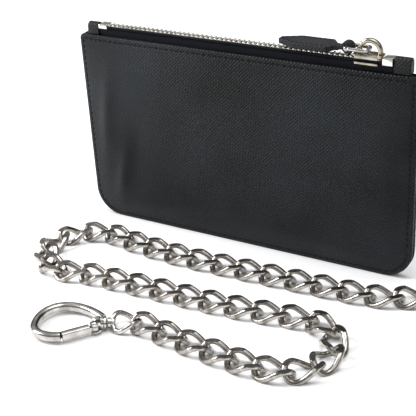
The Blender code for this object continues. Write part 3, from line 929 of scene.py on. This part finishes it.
@dataclass
class Slider:
    """Slider body with its bail, the metal link on it and the leather strap."""

    palette: Palette
    plate: float = 1.2 * MM
    bail_middle: tuple[float, float] = (66.4 * MM, 110.4 * MM)
    bail_radius: float = 4.9 * MM
    bail_wire: float = 1.1 * MM
    bail_half: float = 1.4 * MM
    link_wire: float = 0.85 * MM
    link_half: float = 3.0 * MM
    strap_tip: float = 22.5 * MM
    strap_shoulder: float = 31.6 * MM
    strap_neck: float = 50.5 * MM
    strap_half: float = 6.0 * MM
    neck_half: float = 1.85 * MM
    strap_low: float = 109.3 * MM
    strap_high: float = 111.9 * MM
    neck_z: float = 110.55 * MM
    eye_outer: float = 3.0 * MM
    eye_inner: float = 1.15 * MM

    def body(self) -> bpy.types.Mesh:
        """The channel that runs on the teeth, its waist, and the round bail."""
        low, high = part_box("zip_slider")
        top = low[2] + 4.4 * MM
        wall = (high[1] - low[1]) / 2
        middle, length = (low[0] + high[0]) / 2, high[0] - low[0]
        plate = []
        for sign in (1, -1):
            ends = ((0.5, 0.72), (0.42, 0.95), (0.1, 1.0), (-0.3, 0.86), (-0.5, 0.8))
            half = [(middle + length * x, sign * wall * y) for x, y in ends]
            plate += half if sign == 1 else half[::-1]
        upper = bevelled(extruded(plate, top - self.plate, top), 0.35 * MM, 3)
        walls = []
        for sign in (1, -1):
            outer, inner, lip = sign * wall, sign * 2.7 * MM, sign * 2.2 * MM
            root, tip, lower_tip = top - 0.3 * MM, top - 1.9 * MM, low[2] + 1.1 * MM
            upper_wing = [(outer, root), (outer, tip), (inner, tip), (inner, root)]
            lower_wing = [(outer, lower_tip), (outer, low[2]), (lip, low[2]), (inner, lower_tip)]
            for wing in (upper_wing, lower_wing):
                bar = extruded(wing, low[0] + 1.2 * MM, high[0] - 1.6 * MM, "yzx")
                walls.append(bevelled(bar, 0.15 * MM, 2))
        cx, cz = self.bail_middle
        base = math.degrees(math.asin((top - 0.5 * MM - cz) / self.bail_radius))
        path = [(x, 0.0, z) for x, z in arc((cx, cz), self.bail_radius, 28, base, 180 - 2 * base)]
        bail = swept(path, flat_section(self.bail_wire, self.bail_half, 0.75), 14, False, Vector((0, 1, 0)))
        return mesh_from("slider_body", joined([upper, *walls, bail]), 40)

    def link(self) -> bpy.types.Mesh:
        """The flat loop between bail and strap, with a rivet head at its far end."""
        low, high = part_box("pull_link")
        z = (low[2] + high[2]) / 2
        left, right = low[0] + self.link_wire, high[0] - self.link_wire
        corner = 1.7 * MM
        path: list[Point] = []
        for x, y, start in ((right, 1, 0), (left, 1, 90), (left, -1, 180), (right, -1, 270)):
            centre = (x - corner * (1 if x == right else -1), y * (self.link_half - corner))
            path += [(px, py, z) for px, py in arc(centre, corner, 8, start, 90)]
        loop = swept(path, flat_section(self.link_wire, self.link_wire, 0.8), 12, True)
        heads = []
        for sign in (1, -1):
            profile = [(0, 1.15 * MM), (0.35 * MM, 1.1 * MM), (0.6 * MM, 0.7 * MM), (0.68 * MM, 0.05 * MM)]
            spin = Matrix.Rotation(sign * math.pi / 2, 4, "Z")
            lift = Matrix.Translation((left, sign * (self.link_half + 0.15 * MM), z))
            heads.append(placed(turned(profile, 16), lift @ spin))
        return mesh_from("pull_loop", joined([loop, *heads]), 45)

    def strap(self) -> bpy.types.Mesh:
        """The leather strap: a pointed blade of two layers with a domed edge, and its looped end."""
        outline = [(self.strap_tip, 1.6 * MM), (self.strap_shoulder, self.strap_half)]
        outline += [(self.strap_neck - 3 * MM, self.strap_half), (self.strap_neck, self.neck_half)]
        outline.append((self.strap_neck + 1.5 * MM, self.neck_half))
        closed = outline + [(x, -y) for x, y in outline[::-1]]
        blade = bevelled(extruded(closed, self.strap_low, self.strap_high), 0.55 * MM, 4)
        strap_hinge = joint_places()["strap_hinge"]["pos_m"]
        cx, cz = strap_hinge[0], strap_hinge[2]
        middle = (self.eye_outer + self.eye_inner) / 2
        half = (self.eye_outer - self.eye_inner) / 2
        ring = [(x, 0.0, z) for x, z in arc((cx, cz), middle, 32)]
        eye = swept(ring, flat_section(half, self.neck_half, 0.45), 16, True, Vector((0, 1, 0)))
        neck_path = []
        for i in range(8):
            neck_path.append((self.strap_neck + (0.55 * i - 0.5) * MM, 0.0, self.neck_z + 0.06 * MM * i))
        neck = swept(neck_path, flat_section(self.neck_half, 1.1 * MM, 0.5), 14, False)
        return mesh_from("strap_leather", joined([blade, eye, neck]), 50)

    def strap_stitches(self) -> bpy.types.Mesh:
        """Threads round the strap's top face."""
        inset = 1.3 * MM
        half, tip = self.strap_half - inset, self.strap_tip + inset
        corners = [(self.strap_neck - 4 * MM, half), (self.strap_shoulder + 0.4 * MM, half)]
        corners.append((tip + 0.4 * MM, 1.1 * MM))
        outline = corners + [(x, -y) for x, y in corners[::-1]]
        shapes = []
        for (x0, y0), (x1, y1) in zip(outline, outline[1:]):
            count = max(int(math.hypot(x1 - x0, y1 - y0) / (2.2 * MM)), 1)
            for i in range(count):
                ends = [(i + 0.15) / count, (i + 0.85) / count]
                line = []
                for j in range(4):
                    t = ends[0] + (ends[1] - ends[0]) * j / 3
                    dip = -0.12 * MM if j in (0, 3) else 0.08 * MM
                    line.append((x0 + t * (x1 - x0), y0 + t * (y1 - y0), self.strap_high + dip))
                shapes.append(swept(line, round_section(0.2 * MM), 6, False))
        return mesh_from("strap_threads", joined(shapes), 80)

    def build(self) -> None:
        """Slider, link and strap."""
        add_piece("slider_and_bail", self.body(), self.palette.bronze, "slider", ["zip_slider"])
        add_piece("pull_loop", self.link(), self.palette.nickel, "pull_link", ["pull_link"])
        add_piece("pull_strap", self.strap(), self.palette.edge_leather, "strap", ["leather_pull"])
        stitches = add_piece("pull_strap_stitching", self.strap_stitches(), self.palette.thread, "strap")


@dataclass
class Chain:
    """The curb chain: the links on the floor, the hanging run, and the D-ring with its leather tab."""

    palette: Palette
    pitch: float = 13.17 * MM
    wire: float = 2.8 * MM
    width: float = 13.0 * MM
    height: float = 6.2 * MM
    twist: float = -0.55
    slack: float = 0.5 * MM
    rises: tuple[float, ...] = (12, 45, 70, 76, 76, 76, 76)
    bearings: tuple[float, ...] = (35, 70, 180, 185, 188, 188, 188)
    drop_pitch: float = 13.9 * MM
    ring_wire: float = 1.2 * MM
    ring_reach: float = 12.0 * MM
    ring_half: float = 6.5 * MM
    bow_power: float = 0.8
    tab_outer: float = 2.6 * MM
    tab_inner: float = 1.5 * MM

    def link_mesh(self, name: str) -> bpy.types.Mesh:
        """One link: a twisted oval of round wire, its high and low corners ground flat."""
        long_half = (self.pitch + self.wire + self.slack) / 2
        wide_half = (self.width - self.wire) / 2
        rise = self.twist * wide_half
        steps = 64
        path: list[Point] = []
        for i in range(steps):
            t = 2 * math.pi * (i + 0.5) / steps
            path.append((long_half * math.cos(t), wide_half * math.sin(t), rise * math.sin(2 * t)))
        mesh = mesh_from(name, swept(path, round_section(self.wire / 2), 16, True), 40)
        half = self.height / 2
        cut_flat(mesh, ((Cut.ABOVE, half), (Cut.BELOW, -half)))
        mesh.materials.append(self.palette.chain)
        return mesh

    def floor_links(self) -> None:
        """A link on every link body, from its own pivot to the next one."""
        joints = joint_places()
        mesh = self.link_mesh("curb_link")
        names = sorted(name for name in frame["bodies"] if name.startswith("link_"))
        following = names[1:] + ["eye"]
        for name, after in zip(names, following):
            start = Vector(joints[f"{name}_hinge"]["pos_m"])
            end = Vector(joints[f"{after}_hinge"]["pos_m"])
            heading = math.atan2(end.y - start.y, end.x - start.x)
            middle = Vector(((start.x + end.x) / 2, (start.y + end.y) / 2, self.height / 2))
            place = Matrix.Translation(middle) @ Matrix.Rotation(heading, 4, "Z")
            add_piece(f"curb_{name}", mesh, self.palette.chain, name, [f"chain_{name}"], place)

    def drop_frames(self) -> list[tuple[Matrix, Vector]]:
        """Place and upward direction of each link of the hanging run, from the floor up."""
        pivot = Vector(joint_places()["link_01_hinge"]["pos_m"])
        frames = []
        for i, (rise, bearing) in enumerate(zip(self.rises, self.bearings)):
            a, b = math.radians(rise), math.radians(bearing)
            upward = Vector((math.cos(a) * math.cos(b), math.cos(a) * math.sin(b), math.sin(a)))
            turn = math.radians(self.bearings[0] * (1 - i / (len(self.rises) - 1)))
            wide = Vector((math.sin(turn), -math.cos(turn), 0))
            wide = (wide - upward * wide.dot(upward)).normalized()
            along = -upward
            axes = Matrix((along, wide, along.cross(wide))).transposed().to_4x4()
            frames.append((Matrix.Translation(pivot + upward * self.pitch / 2) @ axes, upward))
            pivot = pivot + upward * self.drop_pitch
        return frames

    def drop(self) -> None:
        """The hanging run: the same links, drawn tight one in the next."""
        body = bmesh.new()
        for place, _ in self.drop_frames():
            mesh = self.link_mesh("drop_link")
            mesh.transform(place)
            body.from_mesh(mesh)
            bpy.data.meshes.remove(mesh)
        mesh = bpy.data.meshes.new("hanging_run")
        body.to_mesh(mesh)
        body.free()
        cut_flat(mesh, ((Cut.BELOW, 0.02 * MM),))
        add_piece("hanging_run", mesh, self.palette.chain, "chain_drop", ["chain_drop"])

    def ring(self) -> None:
        """The D-ring, its straight bar upright in the tab."""
        joints = joint_places()
        hinge = Vector(joints["d_ring_hinge"]["pos_m"])
        contact = Vector(joints["drop_hinge"]["pos_m"])
        turn = math.atan2(contact.y - hinge.y, contact.x - hinge.x)
        path: list[Point] = []
        for i in range(41):
            t = math.radians(-90 + 180 * i / 40)
            reach = self.ring_reach * max(math.cos(t), 0) ** self.bow_power
            path.append((reach, 0, self.ring_half * math.sin(t)))
        shape = swept(path, round_section(self.ring_wire), 16, True, Vector((0, 1, 0)))
        place = Matrix.Translation(hinge) @ Matrix.Rotation(turn, 4, "Z")
        wire = mesh_from("d_ring_wire", placed(shape, place))
        add_piece("d_shaped_ring", wire, self.palette.nickel, "d_ring", ["d_ring"])

    def tab(self) -> None:
        """The leather loop that holds the D-ring's bar against the seam."""
        low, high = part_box("side_tab")
        cx, cy = (low[0] + high[0]) / 2, (low[1] + high[1]) / 2
        middle, half = (self.tab_outer + self.tab_inner) / 2, (self.tab_outer - self.tab_inner) / 2
        tall = (high[2] - low[2]) / 2
        path = [(x, y, (low[2] + high[2]) / 2) for x, y in arc((cx, cy), middle, 40)]
        shape = swept(path, flat_section(half, tall, 0.35), 24, True)
        loop = mesh_from("ring_tab", shape, 50)
        add_piece("ring_tab", loop, self.palette.edge_leather, "pouch", ["side_tab"])

    def build(self) -> None:
        """The whole chain."""
        self.tab()
        self.ring()
        self.drop()
        self.floor_links()


@dataclass
class SnapHook:
    """Swivel eye with its barrel, hook body, gate and pin. Its frame runs along the hook from the collar."""

    palette: Palette
    chain: Chain
    length: float = 33 * MM
    back: float = 18.5 * MM
    front: float = 11.5 * MM
    wire_wide: float = 1.9 * MM
    wire_tall: float = 2.1 * MM
    gate_half: float = 1.7 * MM
    gate_thick: float = 2.0 * MM
    eye_length: float = 12.6 * MM
    eye_twist: float = -0.4
    hinge: tuple[float, float] = (5.2 * MM, 3.4 * MM)

    def place(self) -> Matrix:
        """The hook's frame, from its swivel joint."""
        joint = joint_places()["hook_swivel"]
        axis = Vector(joint["axis"])
        return Matrix.Translation(joint["pos_m"]) @ Matrix.Rotation(math.atan2(axis.y, axis.x), 4, "Z")

    def outline(self, first: float, last: float, steps: int) -> list[Point]:
        """Points of the drop-shaped bow, from the collar round the nose."""
        path: list[Point] = []
        for i in range(steps + 1):
            t = first + (last - first) * i / steps
            reach = self.back if math.sin(t) > 0 else self.front
            y = -reach * math.sin(t) * abs(math.sin(t / 2)) ** 0.7
            path.append((self.length / 2 * (1 - math.cos(t)), y, 0.0))
        return path

    def eye(self) -> bpy.types.Mesh:
        """The loop that the last link holds, and the grooved barrel."""
        chain = self.chain
        long_half = self.eye_length / 2
        middle = long_half - (chain.wire + chain.slack) / 2
        wide_half = (chain.width + 0.8 * MM - chain.wire) / 2
        path: list[Point] = []
        for i in range(64):
            t = 2 * math.pi * (i + 0.5) / 64
            rise = self.eye_twist * wide_half * math.sin(2 * t)
            path.append((middle + long_half * math.cos(t), wide_half * math.sin(t), rise))
        loop = mesh_from("eye_loop", swept(path, round_section(0.46 * chain.wire), 16, True))
        cut_flat(loop, ((Cut.ABOVE, chain.height / 2), (Cut.BELOW, -chain.height / 2)))
        end = middle + long_half
        profile = [(-0.9, 1.7), (-0.7, 2.25), (-0.1, 2.4), (0.15, 1.95)]
        profile += [(0.5, 1.95), (0.75, 2.4), (1.9, 2.4), (2.2, 2.1)]
        barrel = turned([(end + x * MM, r * MM) for x, r in profile])
        body = bmesh.new()
        body.from_mesh(loop)
        body.from_mesh(mesh_from("barrel", barrel, 35))
        mesh = bpy.data.meshes.new("swivel_loop")
        body.to_mesh(mesh)
        body.free()
        smooth(mesh, 35)
        joint = joint_places()["hook_swivel"]
        axis = Vector(joint["axis"])
        pivot = Vector(joint_places()["eye_hinge"]["pos_m"])
        mesh.transform(Matrix.Translation(pivot) @ Matrix.Rotation(math.atan2(axis.y, axis.x), 4, "Z"))
        return mesh

    def bow(self) -> bpy.types.Mesh:
        """Collar, neck, cheeks and bow."""
        bow = swept(self.outline(0.5, 4.5, 72), flat_section(self.wire_wide, self.wire_tall, 0.7), 18, False)
        profile = [(0, 2.5), (0.25, 3.0), (1.0, 3.1), (1.3, 2.8), (1.6, 3.1), (2.8, 3.05), (3.2, 2.5)]
        collar = turned([(x * MM, r * MM) for x, r in profile])
        neck_line = [(2.2 * MM + i * 0.35 * MM, (1.0 - 0.55 * i) * MM * 0.8, 0.0) for i in range(9)]
        neck = swept(neck_line, flat_section(2.3 * MM, 1.9 * MM, 0.6), 16, False)
        hx, hy = self.hinge
        cheeks = []
        for low, high in ((1.3 * MM, 2.5 * MM), (-2.5 * MM, -1.3 * MM)):
            plate = arc((hx, hy), 2.2 * MM, 18, -60, 210) + [(2.4 * MM, hy + 1.0 * MM), (2.4 * MM, 0.0)]
            cheeks.append(bevelled(extruded(plate, low, high), 0.3 * MM, 2))
        return mesh_from("hook_bow", joined([bow, collar, neck, *cheeks]), 40)

    def gate(self) -> bpy.types.Mesh:
        """The flat bar that closes the hook, with its rounded back and its eye."""
        end = Vector(self.outline(0.55, 4.5, 20)[-1])
        hinge = Vector((*self.hinge, 0))
        along = (end - hinge).normalized()
        side = Vector((-along.y, along.x, 0))
        reach = (end - hinge).length - 0.6 * MM
        line = [tuple(hinge + along * (2.7 * MM + (reach - 2.7 * MM) * i / 12)) for i in range(13)]
        bar = swept(line, flat_section(self.gate_half, self.gate_thick, 0.4), 18, False)
        root = [hinge - side * 1.1 * MM, hinge + along * 4 * MM - side * 1.1 * MM]
        root += [hinge + along * 4 * MM + side * 1.1 * MM, hinge + side * 1.1 * MM]
        tongue = extruded([(p.x, p.y) for p in root], -1.0 * MM, 1.0 * MM)
        eye = bevelled(extruded(arc(self.hinge, 1.9 * MM, 20), -1.0 * MM, 1.0 * MM), 0.2 * MM, 2)
        return mesh_from("gate_bar", joined([bar, tongue, eye]), 40)

    def pin(self) -> bpy.types.Mesh:
        """The rivet through the cheeks, with a domed head at each end."""
        head = [(2.5, 0.7), (2.55, 1.15), (2.85, 0.8), (2.95, 0.1)]
        profile = [(-x, r) for x, r in head[::-1]] + head
        upright = Matrix.Rotation(math.pi / 2, 4, "Y")
        middle = Matrix.Translation((*self.hinge, 0))
        rivet = turned([(x * MM, r * MM) for x, r in profile], 18)
        return mesh_from("gate_rivet", placed(rivet, middle @ upright), 35)

    def build(self) -> None:
        """Eye, hook, gate and pin."""
        place = self.place()
        add_piece("swivel_loop", self.eye(), self.palette.nickel, "swivel_eye", ["swivel_eye"])
        add_piece("hook_bow", self.bow(), self.palette.nickel, "hook", ["hook_body"], place)
        add_piece("gate_bar", self.gate(), self.palette.satin, "gate", ["hook_gate"], place)
        add_piece("gate_rivet", self.pin(), self.palette.nickel, "hook", ["gate_pin"], place)


@dataclass
class Studio:
    """Pale floor, soft lights and the camera."""

    eye: Point = (0.22364, -0.40306, 0.25910)
    turn: float = -31.285
    tilt: float = -27.411
    roll: float = -3.461
    lens: float = 88.46
    floor_half: float = 3.0

    def floor(self) -> None:
        """A wide sheet of white paper."""
        half = self.floor_half
        points = [(-half, -half, 0.0), (half, -half, 0.0), (half, half, 0.0), (-half, half, 0.0)]
        mesh = mesh_from("paper", (points, [[0, 1, 2, 3]]))
        mesh.materials.append(PaleFloor("Paper_seamless_white", "#f7f7f8", 0.9).material())
        obj = bpy.data.objects.new("paper_floor", mesh)
        bpy.context.scene.collection.objects.link(obj)
        obj.location.z = -0.05 * MM

    def camera(self) -> None:
        """The camera, from its place and its three angles."""
        yaw, pitch, roll = (math.radians(a) for a in (self.turn, self.tilt, self.roll))
        ahead = Vector((math.sin(yaw) * math.cos(pitch), math.cos(yaw) * math.cos(pitch), math.sin(pitch)))
        level = Vector((math.cos(yaw), -math.sin(yaw), 0))
        above = level.cross(ahead)
        right = level * math.cos(roll) + above * math.sin(roll)
        up = above * math.cos(roll) - level * math.sin(roll)
        data = bpy.data.cameras.new("camera")
        data.lens, data.sensor_width = self.lens, 36.0
        obj = bpy.data.objects.new("camera", data)
        bpy.context.scene.collection.objects.link(obj)
        obj.matrix_world = Matrix.Translation(self.eye) @ Matrix((right, up, -ahead)).transposed().to_4x4()
        bpy.context.scene.camera = obj

    def lamp(self, name: str, place: Point, size: float, power: float, target: Point = (0, 0, 0.03)) -> None:
        """A square soft box that points at a target.

        Args:
            name: its name.
            place: where it hangs.
            size: its side.
            power: its power in watts.
            target: what it points at.
        """
        data = bpy.data.lights.new(name, "AREA")
        data.size, data.energy = size, power
        obj = bpy.data.objects.new(name, data)
        bpy.context.scene.collection.objects.link(obj)
        obj.location = place
        obj.rotation_mode = "QUATERNION"
        obj.rotation_quaternion = (Vector(target) - Vector(place)).to_track_quat("-Z", "Y")

    def world(self) -> None:
        """A studio room: pale above, darker round the sides, so that the metal has something to mirror."""
        made = bpy.data.worlds.new("studio_room")
        bpy.context.scene.world = made
        made.use_nodes = True
        tree = made.node_tree
        place = add_node(tree, "ShaderNodeTexCoord").outputs["Generated"]
        height = add_node(tree, "ShaderNodeSeparateXYZ", {"Vector": place}).outputs["Z"]
        share = add_node(tree, "ShaderNodeMapRange", {"Value": height}, {"From Min": -1.0, "From Max": 1.0})
        floor_to_horizon = ((0.0, 0.2), (0.5, 0.9), (0.57, 0.8))
        dark_wall = ((0.62, 0.04), (0.7, 0.07))
        ceiling = ((0.75, 0.55), (0.9, 0.8))
        room = ramp(tree, share.outputs["Result"], floor_to_horizon + dark_wall + ceiling)
        background = tree.nodes["Background"]
        tree.links.new(room.outputs["Color"], background.inputs["Color"])
        background.inputs["Strength"].default_value = 0.8

    def build(self) -> None:
        """Everything that isn't the object."""
        self.floor()
        self.camera()
        self.world()
        self.lamp("key_softbox", (-0.75, -0.32, 0.7), 0.35, 8.5)
        self.lamp("top_softbox", (0.1, 0.1, 1.2), 0.8, 9.0)
        self.lamp("side_strip", (-0.75, -0.42, 0.3), 0.2, 2.2, (-0.06, 0, 0.05))
        self.lamp("fill_softbox", (0.7, -0.7, 0.9), 0.6, 1.2)
        bpy.context.scene.view_settings.view_transform = "Standard"


def main() -> None:
    """Builds the object piece by piece, then the studio."""
    logging.basicConfig(level=logging.INFO, format="%(message)s")
    palette = Palette()
    pouch = Pouch(palette)
    pouch.build()
    Zip(palette, pouch).build()
    Slider(palette).build()
    chain = Chain(palette)
    chain.build()
    SnapHook(palette, chain).build()
    Studio().build()


if __name__ == "__main__":
    main()
